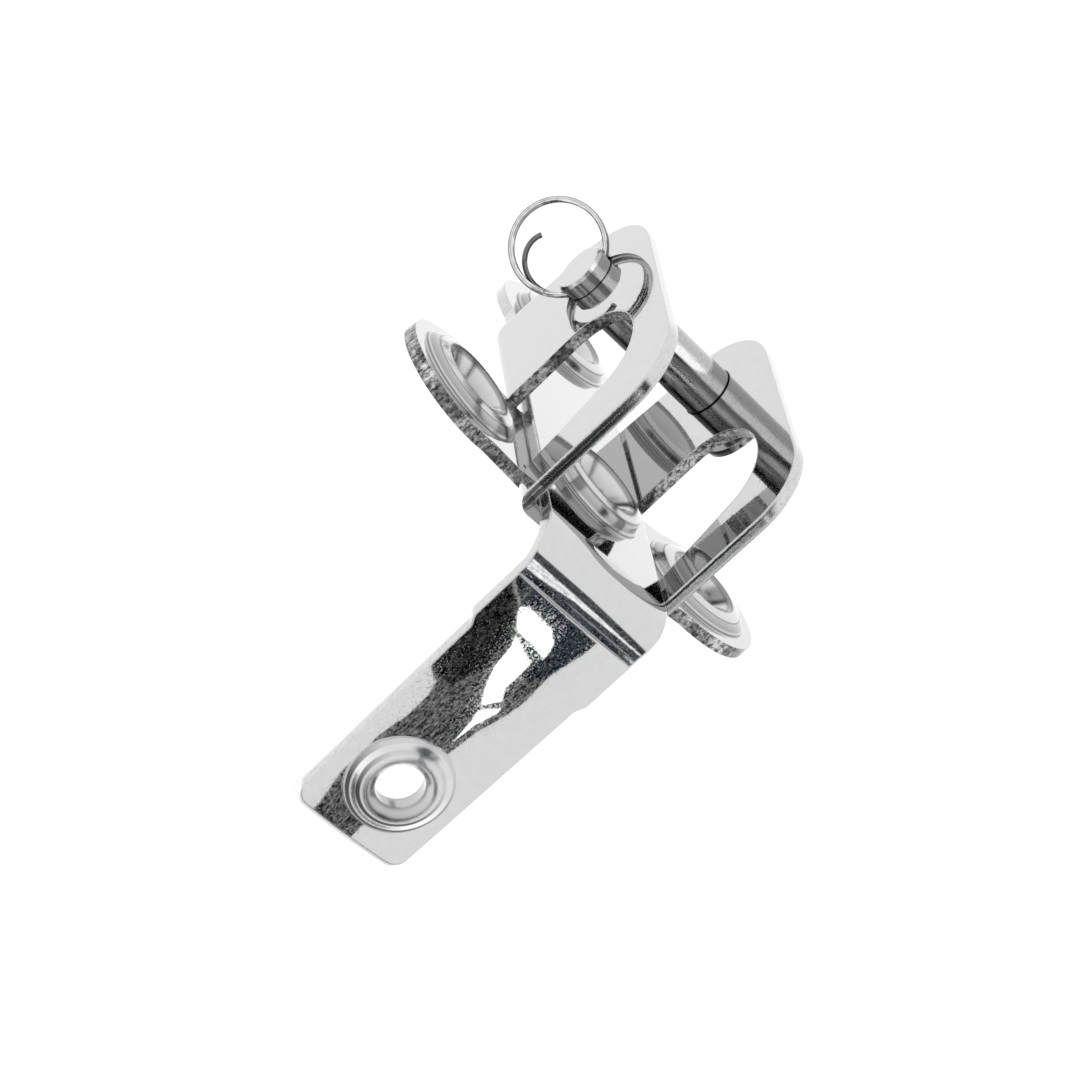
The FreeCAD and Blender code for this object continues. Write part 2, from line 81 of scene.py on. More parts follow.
# Camera: ahead of the part, to starboard and above it, and rolled.
FRAME_WIDTH_PIXELS = 1077
FOCAL_PIXELS = 2026.8
SENSOR_WIDTH = 36.0
CAMERA_PLACE = Vector((188.46, -95.73, 60.71))
CAMERA_BEARING = math.radians(26.933)
CAMERA_RISE = math.radians(17.332)
CAMERA_ROLL = math.radians(49.607)
NEAREST_SEEN_METRES = 0.01
FARTHEST_SEEN_METRES = 20.0


def add_camera():
    backward = Vector((
        math.cos(CAMERA_RISE) * math.cos(CAMERA_BEARING),
        -math.cos(CAMERA_RISE) * math.sin(CAMERA_BEARING),
        math.sin(CAMERA_RISE),
    ))
    level = Vector((math.sin(CAMERA_BEARING), math.cos(CAMERA_BEARING), 0.0))
    upright = backward.cross(level)
    right = level * math.cos(CAMERA_ROLL) + upright * math.sin(CAMERA_ROLL)
    up = upright * math.cos(CAMERA_ROLL) - level * math.sin(CAMERA_ROLL)
    data = bpy.data.cameras.new("camera")
    data.sensor_fit = "HORIZONTAL"
    data.sensor_width = SENSOR_WIDTH
    data.lens = FOCAL_PIXELS / FRAME_WIDTH_PIXELS * SENSOR_WIDTH
    data.clip_start = NEAREST_SEEN_METRES
    data.clip_end = FARTHEST_SEEN_METRES
    camera = bpy.data.objects.new("camera", data)
    scene.collection.objects.link(camera)
    turn = Matrix((right, up, backward)).transposed()
    camera.matrix_world = Matrix.Translation(CAMERA_PLACE * MM) @ turn.to_4x4()
    scene.camera = camera


# Node helpers.
def new_material(name):
    material = bpy.data.materials.new(name)
    material.use_nodes = True
    tree = material.node_tree
    return material, tree, tree.nodes["Principled BSDF"]


def join(tree, source, target):
    tree.links.new(source, target)


def new_metal(name):
    """Metal material, its tree, the inputs of its shader and the place on the part in millimetres."""
    material, tree, shader = new_material(name)
    shader.inputs["Metallic"].default_value = 1.0
    coordinates = tree.nodes.new("ShaderNodeTexCoord")
    place = scaled(tree, coordinates.outputs["Object"], (1.0 / MM, 1.0 / MM, 1.0 / MM))
    return material, tree, shader.inputs, place


def noise(tree, place, scale, detail=4.0, roughness=0.55, distortion=0.0):
    texture = tree.nodes.new("ShaderNodeTexNoise")
    texture.inputs["Scale"].default_value = scale
    texture.inputs["Detail"].default_value = detail
    texture.inputs["Roughness"].default_value = roughness
    texture.inputs["Distortion"].default_value = distortion
    join(tree, place, texture.inputs["Vector"])
    return texture.outputs["Fac"]


def remap(tree, value, source, target=(0.0, 1.0)):
    node = tree.nodes.new("ShaderNodeMapRange")
    join(tree, value, node.inputs["Value"])
    for name, number in zip(("From Min", "From Max", "To Min", "To Max"), (*source, *target)):
        node.inputs[name].default_value = number
    return node.outputs["Result"]


def ramp(tree, value, stops):
    """Colour ramp; each stop is a place and a grey level or a colour."""
    node = tree.nodes.new("ShaderNodeValToRGB")
    elements = node.color_ramp.elements
    while len(elements) < len(stops):
        elements.new(0.5)
    for element, (place, level) in zip(elements, stops):
        element.position = place
        element.color = (*level, 1.0) if isinstance(level, tuple) else (level, level, level, 1.0)
    join(tree, value, node.inputs["Fac"])
    return node.outputs["Color"]


def bump(tree, height, depth, base):
    """Relief on top of the base normal; depth is in millimetres."""
    node = tree.nodes.new("ShaderNodeBump")
    node.inputs["Strength"].default_value = 1.0
    node.inputs["Distance"].default_value = depth * MM
    join(tree, height, node.inputs["Height"])
    join(tree, base, node.inputs["Normal"])
    return node.outputs["Normal"]


def soft_edges(tree, radius):
    node = tree.nodes.new("ShaderNodeBevel")
    node.samples = 6
    node.inputs["Radius"].default_value = radius * MM
    return node.outputs["Normal"]


def arithmetic(tree, operation, first, second):
    node = tree.nodes.new("ShaderNodeMath")
    node.operation = operation
    for socket, source in zip(node.inputs, (first, second)):
        if isinstance(source, float):
            socket.default_value = source
        else:
            join(tree, source, socket)
    return node.outputs["Value"]


def mix(tree, blend):
    """Colour mix: its factor, its two colours and its result."""
    node = tree.nodes.new("ShaderNodeMix")
    node.data_type = "RGBA"
    node.blend_type = blend
    first, second = (socket for socket in node.inputs if socket.type == "RGBA")
    result = next(socket for socket in node.outputs if socket.type == "RGBA")
    return node.inputs["Factor"], first, second, result


def multiply(tree, one, other):
    factor, first, second, result = mix(tree, "MULTIPLY")
    factor.default_value = 1.0
    join(tree, one, first)
    join(tree, other, second)
    return result


def faded(tree, colour, strength):
    """White where strength is 0, the colour where it is 1."""
    factor, first, second, result = mix(tree, "MIX")
    first.default_value = (1.0, 1.0, 1.0, 1.0)
    join(tree, colour, second)
    join(tree, strength, factor)
    return result


def vector_math(tree, operation, vector, constant=None):
    node = tree.nodes.new("ShaderNodeVectorMath")
    node.operation = operation
    join(tree, vector, node.inputs[0])
    if constant is not None:
        node.inputs[1].default_value = constant
    return node.outputs


def minus(tree, place, centre):
    return vector_math(tree, "SUBTRACT", place, centre)["Vector"]


def scaled(tree, place, factors):
    return vector_math(tree, "MULTIPLY", place, factors)["Vector"]


def length_of(tree, vector):
    return vector_math(tree, "LENGTH", vector)["Value"]


def parts_of(tree, vector):
    node = tree.nodes.new("ShaderNodeSeparateXYZ")
    join(tree, vector, node.inputs["Vector"])
    return node.outputs


def crevice(tree, reach):
    """Shade that darkens seams and inner corners."""
    node = tree.nodes.new("ShaderNodeAmbientOcclusion")
    node.samples = 6
    node.inputs["Distance"].default_value = reach * MM
    return ramp(tree, node.outputs["AO"], [(0.28, 0.06), (0.62, 1.0)])


def on_ramp(place, span):
    """Place on a ramp that runs over a span."""
    low, high = span
    return (place - low) / (high - low)


# Screw bosses. Painted reflections and shade round each, as dark lines and bright bands, are drawn by the distance
# from the screw, over BOSS_SPAN.
BOSS_SPAN = (2.0, 8.0)
BOSS_LINE_HEIGHT = 2.6
BOSS_MARGIN = 0.45
BOSS_FADE = (0.1, 1.0)
ROUND_UPRIGHT_AXIS = (1.0, 1.0, 0.0)
ROUND_FORWARD_AXIS = (0.0, 1.0, 1.0)


def boss_reflection_lines(lip, crown, foot):
    """Painted dark lines of reflection and shade at the lip of the countersink, the edge of the crown and the
    foot.
    """
    return [
        (2.7, 0.75), (lip - 0.6, 1.0), (lip - 0.40, 0.50), (lip - 0.10, 0.45), (lip, 0.15),
        (lip + 0.14, 1.0), (crown - 0.22, 1.0), (crown - 0.06, 0.30), (crown + 0.08, 0.75),
        (foot - 0.05, 0.55), (foot + 0.08, 1.0), (foot + 0.26, 0.22), (foot + 0.42, 1.0),
    ]


def crescent_reflection_lines(lip, crown, foot):
    """The same, with a painted highlight band between two painted dark lines outside the crown."""
    return [
        (2.7, 0.8), (lip - 0.30, 0.70), (lip, 0.22), (lip + 0.14, 1.0), (crown - 0.42, 1.0),
        (crown - 0.28, 0.12), (crown + 0.02, 0.10), (crown + 0.16, 1.5), (foot - 0.14, 1.6),
        (foot, 0.12), (foot + 0.36, 0.15), (foot + 0.42, 1.0),
    ]


# A boss: lip, crown and foot are radii, and across says which axes its radius runs along. Its
# painted reflection and shade lines grow fainter upward, from fade below the screw to fade above it, or not where
# fade is 0.
Boss = namedtuple("Boss", "name screw axis across lip crown foot lines fade")


def ear_boss(side):
    place, axis = screw(side + "_ear_screw")
    return Boss(side + "_ear_boss", place, axis, ROUND_UPRIGHT_AXIS, 4.5, 6.0, 6.9, boss_reflection_lines, 0.0)


BOSSES = {
    "bracket": [ear_boss("port"), ear_boss("starboard")],
    "deck_strap": [
        Boss("middle_boss", *screw("middle_screw"), ROUND_UPRIGHT_AXIS, 4.7, 6.05, 6.4, boss_reflection_lines, 0.0),
        Boss("tail_boss", TAIL_CENTRE, UP, ROUND_UPRIGHT_AXIS, 5.3, 6.85, 7.35, boss_reflection_lines, 0.0),
        Boss("stem_boss", *screw("stem_screw"), ROUND_FORWARD_AXIS, 3.6, 4.6, 5.4, crescent_reflection_lines, 2.5),
    ],
}


# Steel of the sheets. Its shade is low because the surroundings are brighter than white.
STEEL_LOW = (0.440, 0.440, 0.446)
STEEL_HIGH = (0.458, 0.458, 0.460)

# Relief and texture: cells per millimetre, and depths in millimetres.
PEEL_CELLS, PEEL_DEPTH = 0.16, 0.002
GRAIN_CELLS, GRAIN_DEPTH = 2.6, 0.00012
SCUFF_CELLS, SCUFF_DEPTH = 5.0, 0.00016
TONE_CELLS = 0.9
SCUFFS = (0.53, 0.70)
CLEAN_ROUGHNESS, SCUFFED_ROUGHNESS = 0.012, 0.15
SHEET_EDGE_RADIUS, BOSS_EDGE_RADIUS = 0.3, 0.8
BOSS_DULLNESS, PIN_END_DULLNESS = 0.12, 0.1
SEAM_REACH = 0.5


def painted_lines_round(tree, place, boss):
    """Painted reflection and shade lines drawn round a boss."""
    away = minus(tree, place, boss.screw + boss.axis * BOSS_LINE_HEIGHT)
    reach = length_of(tree, scaled(tree, away, boss.across))
    marks = boss.lines(boss.lip, boss.crown, boss.foot)
    stops = [(on_ramp(mark, BOSS_SPAN), level) for mark, level in marks]
    drawn = ramp(tree, remap(tree, reach, BOSS_SPAN), stops)
    if not boss.fade:
        return drawn
    strength = remap(tree, parts_of(tree, away)["Z"], (boss.fade, -boss.fade), BOSS_FADE)
    return faded(tree, drawn, strength)


def mirror_sheet(name, edge_radius, dullness=0.0, boss=None):
    """Tumbled and buffed sheet: a mirror with a slight orange peel and fine scuffs."""
    material, tree, inputs, place = new_metal(name)
    peel = noise(tree, place, PEEL_CELLS, detail=2.0)
    grain = noise(tree, place, GRAIN_CELLS, detail=3.0)
    scuff = noise(tree, place, SCUFF_CELLS, detail=2.0, roughness=0.7)
    peeled = bump(tree, peel, PEEL_DEPTH, soft_edges(tree, edge_radius))
    pitted = bump(tree, grain, GRAIN_DEPTH, peeled)
    join(tree, bump(tree, scuff, SCUFF_DEPTH, pitted), inputs["Normal"])
    gloss = (CLEAN_ROUGHNESS + dullness, SCUFFED_ROUGHNESS + dullness)
    join(tree, remap(tree, scuff, SCUFFS, gloss), inputs["Roughness"])
    steel = ramp(tree, noise(tree, place, TONE_CELLS), [(0.3, STEEL_LOW), (0.7, STEEL_HIGH)])
    if boss:
        # On a boss, painted reflection and shade lines are multiplied into the steel.
        steel = multiply(tree, steel, painted_lines_round(tree, place, boss))
    join(tree, multiply(tree, steel, crevice(tree, SEAM_REACH)), inputs["Base Color"])
    return material


# Painted reflection lines, dark bands and bright lines, along the front edges of the cheeks: places across the
# sheet from its inner side.
PORT_RIM_REFLECTIONS = [
    (0.0, 1.0), (0.10, 1.0), (0.16, 0.08), (0.30, 0.12), (0.36, 0.95), (0.92, 0.75), (1.0, 0.35),
]
STARBOARD_RIM_REFLECTIONS = [
    (0.0, 0.4), (0.08, 1.0), (0.14, 0.3), (0.44, 0.2), (0.52, 1.0), (0.60, 0.3), (0.84, 0.3), (0.92, 1.0),
]
RIM_FADE_Z = (19.0, 14.0)
RIM_WANDER = (-0.06, 0.06)
PIT_CELLS, PIT_DEPTH = 2.2, 0.006
PITS = (0.35, 0.65)
RIM_GLOSS = (0.03, 0.08)
RIM_EDGE_RADIUS = 0.6
RIM_SEAM_REACH = 0.4
MIDDLING = (0.3, 0.7)


def rounded_edge(name, stops=None):
    """Outer edge, rounded and buffed, with painted reflection lines along it where stops are given."""
    material, tree, inputs, place = new_metal(name)
    pit = noise(tree, place, PIT_CELLS, detail=5.0, roughness=0.7)
    join(tree, bump(tree, pit, PIT_DEPTH, soft_edges(tree, RIM_EDGE_RADIUS)), inputs["Normal"])
    join(tree, remap(tree, pit, PITS, RIM_GLOSS), inputs["Roughness"])
    steel = ramp(tree, pit, [(0.34, 0.36), (0.5, 0.46)])
    if stops:
        # Painted reflection lines across the edge, fainter higher up.
        parts = parts_of(tree, place)
        side = arithmetic(tree, "ABSOLUTE", parts["Y"], 0.0)
        across = remap(tree, side, (CHEEK_IN, CHEEK_OUT))
        wandering = arithmetic(tree, "ADD", across, remap(tree, pit, MIDDLING, RIM_WANDER))
        strength = remap(tree, parts["Z"], RIM_FADE_Z)
        steel = multiply(tree, steel, faded(tree, ramp(tree, wandering, stops), strength))
    join(tree, multiply(tree, steel, crevice(tree, RIM_SEAM_REACH)), inputs["Base Color"])
    return material


TORN_CELLS, TORN_DEPTH = 3.0, 0.06
TORN_STRETCH = (1.0, 0.7, 0.5)
FINE_TORN_CELLS, FINE_TORN_DEPTH = 6.0, 0.015
BROAD_TORN_CELLS = 0.33
TORN_GLOSS = (0.14, 0.40)
TORN_EDGE_RADIUS = 0.22


def cut_edge():
    """Blanked edge: torn metal, mottled by tumbling, streaked through the sheet."""
    material, tree, inputs, place = new_metal("blanked_edge")
    streaked = scaled(tree, place, TORN_STRETCH)
    mottle = noise(tree, streaked, TORN_CELLS, detail=6.0, roughness=0.72, distortion=0.2)
    fine = noise(tree, place, FINE_TORN_CELLS, roughness=0.7)
    broad = noise(tree, place, BROAD_TORN_CELLS, detail=2.0)
    rough = bump(tree, mottle, TORN_DEPTH, soft_edges(tree, TORN_EDGE_RADIUS))
    join(tree, bump(tree, fine, FINE_TORN_DEPTH, rough), inputs["Normal"])
    join(tree, remap(tree, mottle, PITS, TORN_GLOSS), inputs["Roughness"])
    torn = ramp(tree, mottle, [(0.38, 0.04), (0.46, 0.15), (0.54, 0.34), (0.64, 0.54)])
    patches = ramp(tree, broad, [(0.40, 0.40), (0.48, 0.85), (0.60, 1.25)])
    join(tree, multiply(tree, torn, patches), inputs["Base Color"])
    return material


# The pin: painted shade lines where it enters the cheeks, and painted reflection bands along its front by height.
PIN_SPAN = (-20.0, 20.0)
PIN_HEIGHTS = (-3.2, 3.2)
SEAM_HALF = 0.11
SEAM_MARKS = ((-1.3, 1.0), (-1.0, 0.0), (1.0, 0.0), (1.3, 1.0))
PIN_REFLECTION_BANDS = [
    (0.0, 0.05), (0.18, 0.08), (0.24, 0.55), (0.33, 1.0), (0.42, 0.55), (0.52, 0.80), (0.60, 0.35),
    (0.68, 0.25), (0.73, 1.35), (0.82, 1.25), (0.87, 0.70), (1.0, 0.72),
]
BAND_WANDER = (-0.03, 0.03)
FRONT_SLOPE = 0.35
FRONT_FADE = (-0.9, -0.2)
STREAK_CELLS, STREAK_DEPTH = 3.0, 0.004
STREAK_STRETCH = (1.0, 0.10, 1.0)
FLECK_CELLS, FLECK_DEPTH = 5.0, 0.003
FLECK_STRETCH = (1.0, 0.5, 1.0)
PIN_GLOSS = (0.06, 0.2)
PIN_EDGE_RADIUS = 0.2


def seam_shade_stops(places):
    """Ramp over PIN_SPAN that is white but for a painted shade line at each place."""
    stops = [(0.0, 1.0)]
    for place in places:
        for side, level in SEAM_MARKS:
            stops.append((on_ramp(place + side * SEAM_HALF, PIN_SPAN), level))
    return stops + [(1.0, 1.0)]


def turned_steel():
    """Drawn and turned pin: painted reflection bands along its front, and painted shade lines where it meets the
    cheeks.
    """
    material, tree, inputs, place = new_metal("turned_pin")
    local = minus(tree, place, PIN_CENTRE)
    streak = noise(tree, scaled(tree, local, STREAK_STRETCH), STREAK_CELLS, detail=5.0, roughness=0.7)
    fleck = noise(tree, scaled(tree, local, FLECK_STRETCH), FLECK_CELLS, detail=3.0, roughness=0.75)
    drawn = bump(tree, streak, STREAK_DEPTH, soft_edges(tree, PIN_EDGE_RADIUS))
    join(tree, bump(tree, fleck, FLECK_DEPTH, drawn), inputs["Normal"])
    join(tree, remap(tree, fleck, MIDDLING, PIN_GLOSS), inputs["Roughness"])
    parts = parts_of(tree, local)
    height = remap(tree, parts["Z"], PIN_HEIGHTS)
    wandering = arithmetic(tree, "ADD", height, remap(tree, streak, MIDDLING, BAND_WANDER))
    rise = arithmetic(tree, "MULTIPLY", parts["Z"], FRONT_SLOPE)
    front = remap(tree, arithmetic(tree, "ADD", parts["X"], rise), FRONT_FADE)
    # Painted reflection bands on the front, and painted shade lines where the pin meets the cheeks.
    bands = faded(tree, ramp(tree, wandering, PIN_REFLECTION_BANDS), front)
    seams = ramp(tree, remap(tree, parts["Y"], PIN_SPAN), seam_shade_stops([-CHEEK_OUT, CHEEK_IN]))
    tone = ramp(tree, fleck, [(0.36, 0.38), (0.52, 0.50)])
    join(tree, multiply(tree, multiply(tree, tone, bands), seams), inputs["Base Color"])
    return material


WIRE_HALF_SPAN = 0.4
WIRE_ROUGHNESS = 0.08
WIRE_STREAK_CELLS = 1.4
WIRE_RIM_SHADE = [(0.10, 0.12), (0.26, 0.55), (0.45, 0.62), (0.60, 0.30), (0.74, 0.60), (0.90, 0.12)]


def ring_steel():
    """Drawn spring wire, with painted shade darkening the inner and outer rims of the coil."""
    material, tree, inputs, place = new_metal("ring_wire")
    inputs["Roughness"].default_value = WIRE_ROUGHNESS
    reach = length_of(tree, minus(tree, place, RING_CENTRE))
    span = (RING_RADIUS - WIRE_HALF_SPAN, RING_RADIUS + WIRE_HALF_SPAN)
    # Painted shade on the inner and outer rims of the wire.
    rims = ramp(tree, remap(tree, reach, span), WIRE_RIM_SHADE)
    tone = ramp(tree, noise(tree, place, WIRE_STREAK_CELLS, detail=3.0), [(0.3, 0.75), (0.6, 1.0)])
    rim_shaded_tone = multiply(tree, rims, tone)
    join(tree, multiply(tree, rim_shaded_tone, crevice(tree, SEAM_REACH)), inputs["Base Color"])
    return material


# Places of the materials in each list; the materials of the screw bosses follow.
FACE, ROUNDED, CUT, PORT_EDGE, STARBOARD_EDGE, FIRST_BOSS = 0, 1, 2, 3, 4, 5

# Facets are told apart by their places, and by how far their normals lean along an axis.
CHEEK_MARGIN = 0.1
CHEEK_FOOT_Z = 0.2
WEB_TOP_Z = 2.0
EAR_EDGE_REACH = 8.2
TAIL_EDGE_REACH = 9.0
STRAP_EDGE_Y = 7.0
STEM_END_MARGIN = 0.7
EDGE_ON = 0.05
NEARLY_EDGE_ON = 0.3
FORWARD = 0.5
SIDEWAYS = 0.7
DOWNWARD = -0.8
SQUARE_ON = 0.9
UNDERSIDE = -0.2


def dress(node, materials, pick):
    """Give a node its materials; pick says which of them a facet takes."""
    mesh = nodes[node].data
    mesh.materials.clear()
    for material in materials:
        mesh.materials.append(material)
    for facet in mesh.polygons:
        facet.material_index = pick(Vector(facet.center) / MM, Vector(facet.normal))


def reach_from(point, place, axis):
    """Distance of a point from the line through a place along an axis."""
    away = point - place
    return (away - axis * away.dot(axis)).length


def boss_at(node, centre, normal):
    """Place in the material list of the boss whose upper side a facet lies on, or None."""
    for number, boss in enumerate(BOSSES[node]):
        near = reach_from(centre, boss.screw, boss.axis) < boss.foot + BOSS_MARGIN
        if near and normal.dot(boss.axis) > UNDERSIDE:
            return FIRST_BOSS + number
    return None


def in_window(centre):
    return WINDOW_X[0] < centre.x < WINDOW_X[1] and WINDOW_Z[0] < centre.z < WINDOW_Z[1]


def cheek_edge_material(centre, normal):
    if in_window(centre):
        return FACE if normal.z > SQUARE_ON and centre.z < WEB_TOP_Z else CUT
    if normal.x < FORWARD:
        return ROUNDED
    return PORT_EDGE if centre.y > 0.0 else STARBOARD_EDGE


def bracket_material(centre, normal):
    side = abs(centre.y)
    boss = boss_at("bracket", centre, normal)
    if boss and side > CHEEK_OUT:
        return boss
    in_cheek = CHEEK_IN - CHEEK_MARGIN < side < CHEEK_OUT + CHEEK_MARGIN
    if in_cheek and abs(normal.y) < EDGE_ON and centre.z > CHEEK_FOOT_Z:
        return cheek_edge_material(centre, normal)
    for ear in BOSSES["bracket"]:
        beyond = side > CHEEK_OUT and centre.y * ear.screw.y > 0.0
        rim = reach_from(centre, ear.screw, ear.axis) > EAR_EDGE_REACH
        if beyond and rim and abs(normal.dot(ear.axis)) < NEARLY_EDGE_ON:
            return CUT
    return FACE


def strap_material(centre, normal):
    boss = boss_at("deck_strap", centre, normal)
    if boss:
        return boss
    if abs(normal.y) > SIDEWAYS and abs(centre.y) > STRAP_EDGE_Y:
        return ROUNDED
    if centre.z < STEM_END_Z + STEM_END_MARGIN and normal.z < DOWNWARD:
        return ROUNDED
    rim = reach_from(centre, TAIL_CENTRE, UP) > TAIL_EDGE_REACH
    if rim and abs(normal.z) < NEARLY_EDGE_ON and centre.x < TAIL_CENTRE.x + TAIL_EDGE_REACH:
        return CUT
    return FACE


def pin_material(centre, normal):
    return 1 if abs(normal.y) > SQUARE_ON else 0


def ring_material(centre, normal):
    return 0


def dress_part():
    sheet_materials = [
        mirror_sheet("polished_sheet", SHEET_EDGE_RADIUS),
        rounded_edge("rounded_edge"),
        cut_edge(),
        rounded_edge("port_cheek_edge", PORT_RIM_REFLECTIONS),
        rounded_edge("starboard_cheek_edge", STARBOARD_RIM_REFLECTIONS),
    ]
    for node, pick in (("bracket", bracket_material), ("deck_strap", strap_material)):
        boss_materials = [
            mirror_sheet(boss.name, BOSS_EDGE_RADIUS, BOSS_DULLNESS, boss) for boss in BOSSES[node]
        ]
        dress(node, sheet_materials + boss_materials, pick)
    pin_end = mirror_sheet("turned_face", SHEET_EDGE_RADIUS, PIN_END_DULLNESS)
    dress("clevis_pin", [turned_steel(), pin_end], pin_material)
    dress("split_ring", [ring_steel()], ring_material)


# Studio: white floor and surroundings, a soft lamp, and cards that only reflections see.
# Its sizes are in metres.
FLOOR_GAP = 0.0002
FLOOR_SIZE = 12.0
FLOOR_SHADE = 0.8
FLOOR_GLOW = 0.56
WORLD_FILL = 0.6
WORLD_SEEN = 1.0
WORLD_MIRRORED = 1.5
LAMP_PLACE = Vector((0.1, 0.2, 0.9))
LAMP_SIZE = 0.6
LAMP_WATTS = 1.7
CARD_CENTRE = Vector((0.02, 0.0, -0.012))
CARD_REACH = 20.0
CARD_STEP = 0.8

# Outlines of the cards as (bearing, rise) corners in degrees, seen from the stem.
BEND_CARD = [
    (12, 40), (26.5, 37), (29.5, 34), (33, 31), (33, 19), (31.8, 12), (31.2, 3), (30.7, -4), (30.2, -6.8),
    (29.8, -7.6), (12, -7.6),
]
STEM_CARD = [
    (12, -7.4), (34.4, -7.4), (34.2, -8.4), (32.6, -9.5), (33.1, -10.4), (32.9, -10.9),
    (31.9, -11.5), (30.9, -11.9), (30.3, -12.6), (29.5, -14.0), (28.7, -16.2), (29.1, -17.5),
    (19.4, -17.5), (19.2, -16.2), (17.7, -15.1), (16.6, -14.2), (16.7, -13.4), (18.2, -12.7),
    (18.1, -11.7), (17.1, -11.25), (16.3, -11.2), (14.5, -10.95), (12, -10.8),
]
NAVY_CARD = [(17, -7.35), (34.4, -7.35), (34.2, -8.4), (32.6, -9.5), (30, -9.9), (21, -9.2), (18, -8.4)]
LOW_CARD = [(0, -18.5), (48, -18.5), (60, -30), (55, -45), (-5, -45), (-8, -30)]
BLACK_CARD = [
    (12, -7.3), (15, -7.3), (18, -8.05), (20.6, -9.1), (22, -10.2), (20, -11.1), (16.2, -11.1),
    (14.5, -10.9), (12, -10.7),
]
STRIP_CARD = [
    (25.8, 24), (26.55, 22.7), (27.2, 18.7), (27.7, 17.4), (28.5, 16.7), (29.5, 15), (30.5, 11.9),
    (30.9, 11.2), (30.5, 8.8), (29.5, 8.4), (28.5, 7.3), (27.7, 6.4), (27.2, 4), (26.86, 1.8), (26.4, -4),
    (25.8, -5),
]
LENS_CARD = [(27.4, -5.9), (28.0, -5.0), (29.8, -5.0), (30.3, -5.9)]
GREEN_CARD = [
    (19.0, -8.45), (20.7, -8.6), (23.3, -8.7), (26.2, -8.8), (29.1, -9.0), (28.2, -9.6), (23.1, -9.2),
    (21.3, -9.0), (19.6, -8.75),
]
HIGH_WINDOW = [
    (17.9, -8.1), (19.1, -8.0), (22.1, -8.05), (25.7, -8.2), (27.9, -8.5), (28.9, -8.8), (29.1, -9.1),
    (26.2, -8.88), (23.3, -8.8), (20.7, -8.7), (18.6, -8.3),
]
LOW_WINDOW = [
    (21.5, -8.9), (23.1, -9.0), (27.9, -9.4), (28.0, -10.0), (27.9, -10.4), (29.6, -10.8),
    (27.2, -11.2), (25.1, -10.7), (23.2, -10.0), (22.5, -9.2),
]
TAIL_WINDOW = [
    (27.5, -11.4), (30.5, -11.05), (30.8, -11.2), (29.4, -11.8), (28.95, -12.6), (28.2, -11.8),
]
GLINT_CARD = [(12.6, -7.3), (13.3, -7.3), (18.1, -8.1), (17.7, -8.14)]

# Grain of the cards: fineness across and upward, per metre.
FINE = (6.5, 42.0)
COARSE = (20.0, 1.0)
BROAD = (3.0, 3.0)

# Colours of the grain, from its dark to its light cells.
INK = [(0.42, (0.001, 0.001, 0.002)), (0.50, (0.010, 0.015, 0.024)), (0.57, (0.34, 0.36, 0.38))]
CHARCOAL = [(0.44, (0.001, 0.001, 0.001)), (0.51, (0.045, 0.045, 0.047)), (0.57, (0.58, 0.58, 0.58))]
BLACK = [(0.42, (0.001, 0.001, 0.001)), (0.52, (0.012, 0.012, 0.013)), (0.64, (0.15, 0.15, 0.15))]
NAVY = [(0.42, (0.001, 0.002, 0.005)), (0.50, (0.020, 0.032, 0.050)), (0.58, (0.13, 0.16, 0.19))]
PALE = [(0.42, (0.25, 0.25, 0.26)), (0.47, (2.4, 2.4, 2.4))]
GREEN = [(0.36, (0.02, 0.035, 0.03)), (0.64, (0.22, 0.33, 0.22))]

# Strengths of the plain cards; white is 1.
LENS_GLOW = 1.0
WINDOW_GLOW = 4.5
GLINT_GLOW = 0.8


def seen_and_mirrored(tree):
    """Masks of the rays that look at a thing straight, and of those that see it mirrored."""
    path = tree.nodes.new("ShaderNodeLightPath")
    mirrored = arithmetic(
        tree, "MAXIMUM", path.outputs["Is Glossy Ray"], path.outputs["Is Transmission Ray"],
    )
    return path.outputs["Is Camera Ray"], mirrored


def add_floor():
    bpy.ops.mesh.primitive_plane_add(size=FLOOR_SIZE, location=(0, 0, cad_box[0].z - FLOOR_GAP))
    floor = bpy.context.object
    floor.name = "floor"
    floor.visible_glossy = False
    material, tree, shader = new_material("floor")
    shader.inputs["Base Color"].default_value = (FLOOR_SHADE, FLOOR_SHADE, FLOOR_SHADE, 1.0)
    shader.inputs["Roughness"].default_value = 1.0
    shader.inputs["Specular IOR Level"].default_value = 0.0
    shader.inputs["Emission Color"].default_value = (1.0, 1.0, 1.0, 1.0)
    seen = arithmetic(tree, "MAXIMUM", *seen_and_mirrored(tree))
    join(tree, arithmetic(tree, "MULTIPLY", seen, FLOOR_GLOW), shader.inputs["Emission Strength"])
    floor.data.materials.append(material)


def add_world():
    """White surroundings, dimmer as a light on the part and brighter in its mirror."""
    world = bpy.data.worlds.new("studio")
    world.use_nodes = True
    tree = world.node_tree
    background = tree.nodes["Background"]
    background.inputs["Color"].default_value = (1.0, 1.0, 1.0, 1.0)
    seen, mirrored = seen_and_mirrored(tree)
    more_seen = arithmetic(tree, "MULTIPLY", seen, WORLD_SEEN - WORLD_FILL)
    more_mirrored = arithmetic(tree, "MULTIPLY", mirrored, WORLD_MIRRORED - WORLD_FILL)
    more = arithmetic(tree, "ADD", more_seen, more_mirrored)
    join(tree, arithmetic(tree, "ADD", more, WORLD_FILL), background.inputs["Strength"])
    scene.world = world


def add_lamp():
    data = bpy.data.lights.new("top_lamp", "AREA")
    data.shape = "SQUARE"
    data.size = LAMP_SIZE
    data.energy = LAMP_WATTS
    lamp = bpy.data.objects.new("top_lamp", data)
    scene.collection.objects.link(lamp)
    lamp.location = LAMP_PLACE
    lamp.rotation_mode = "QUATERNION"
    lamp.rotation_quaternion = LAMP_PLACE.to_track_quat("Z", "Y")
    lamp.visible_glossy = False


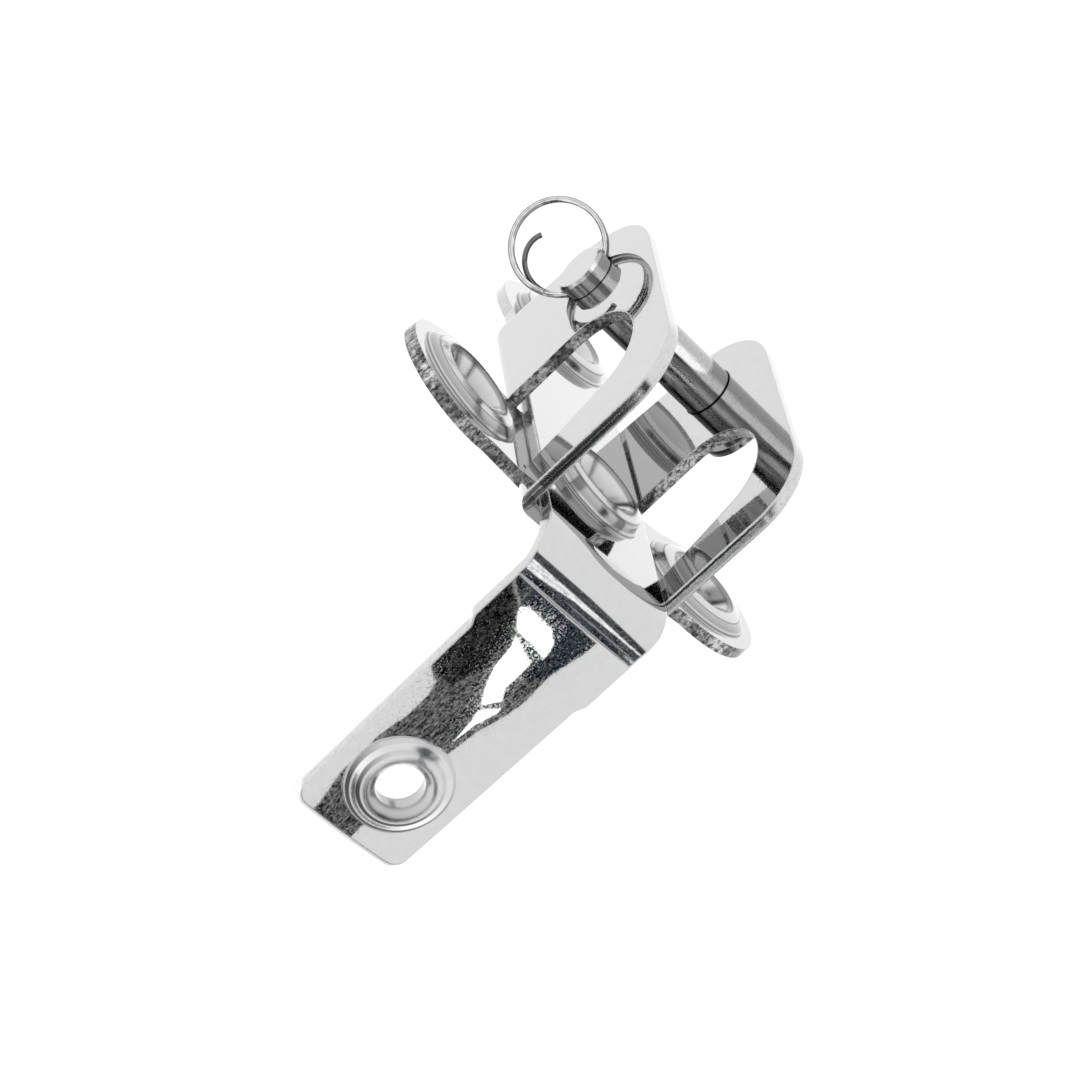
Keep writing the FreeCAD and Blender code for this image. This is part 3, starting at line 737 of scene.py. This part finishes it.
def glowing(name):
    """Material that only gives light, its tree and the inputs of its glow."""
    material, tree, shader = new_material(name)
    tree.nodes.remove(shader)
    glow = tree.nodes.new("ShaderNodeEmission")
    join(tree, glow.outputs["Emission"], tree.nodes["Material Output"].inputs["Surface"])
    return material, tree, glow.inputs


def plain_shade(name, level):
    material, tree, inputs = glowing(name)
    inputs["Color"].default_value = (1.0, 1.0, 1.0, 1.0)
    inputs["Strength"].default_value = level
    return material


def grained_shade(name, fineness, stops):
    material, tree, inputs = glowing(name)
    across, upward = fineness
    coordinates = tree.nodes.new("ShaderNodeTexCoord")
    place = scaled(tree, coordinates.outputs["Object"], (across, across, upward))
    grain = noise(tree, place, 1.0, detail=1.0, roughness=0.6)
    join(tree, ramp(tree, grain, stops), inputs["Color"])
    return material


def outward(bearing, rise):
    """Direction of a bearing and a rise in degrees."""
    turn, lift = math.radians(bearing), math.radians(rise)
    return Vector((math.cos(lift) * math.cos(turn), math.cos(lift) * math.sin(turn), math.sin(lift)))


def add_card(name, corners, layer, material):
    """Card in front of the stem; a higher layer stands nearer."""
    reach = CARD_REACH - layer * CARD_STEP
    mesh = bpy.data.meshes.new(name)
    mesh.from_pydata([outward(*corner) * reach for corner in corners], [], [range(len(corners))])
    mesh.materials.append(material)
    card = bpy.data.objects.new(name, mesh)
    scene.collection.objects.link(card)
    card.location = CARD_CENTRE
    card.visible_camera = False
    card.visible_diffuse = False
    card.visible_shadow = False


def add_cards():
    for name, corners, layer, fineness, stops in (
        ("bend_card", BEND_CARD, 0, COARSE, INK),
        ("stem_card", STEM_CARD, 1, FINE, CHARCOAL),
        ("black_card", BLACK_CARD, 3, FINE, BLACK),
        ("navy_card", NAVY_CARD, 2, FINE, NAVY),
        ("low_card", LOW_CARD, 0, BROAD, BLACK),
        ("strip_card", STRIP_CARD, 2, COARSE, PALE),
        ("green_card", GREEN_CARD, 4, FINE, GREEN),
    ):
        add_card(name, corners, layer, grained_shade(name, fineness, stops))
    window_shade = plain_shade("window", WINDOW_GLOW)
    add_card("high_window", HIGH_WINDOW, 5, window_shade)
    add_card("low_window", LOW_WINDOW, 5, window_shade)
    add_card("tail_window", TAIL_WINDOW, 5, window_shade)
    add_card("lens_card", LENS_CARD, 2, plain_shade("lens", LENS_GLOW))
    add_card("glint_card", GLINT_CARD, 5, plain_shade("glint", GLINT_GLOW))


add_camera()
dress_part()
add_floor()
add_world()
add_lamp()
add_cards()
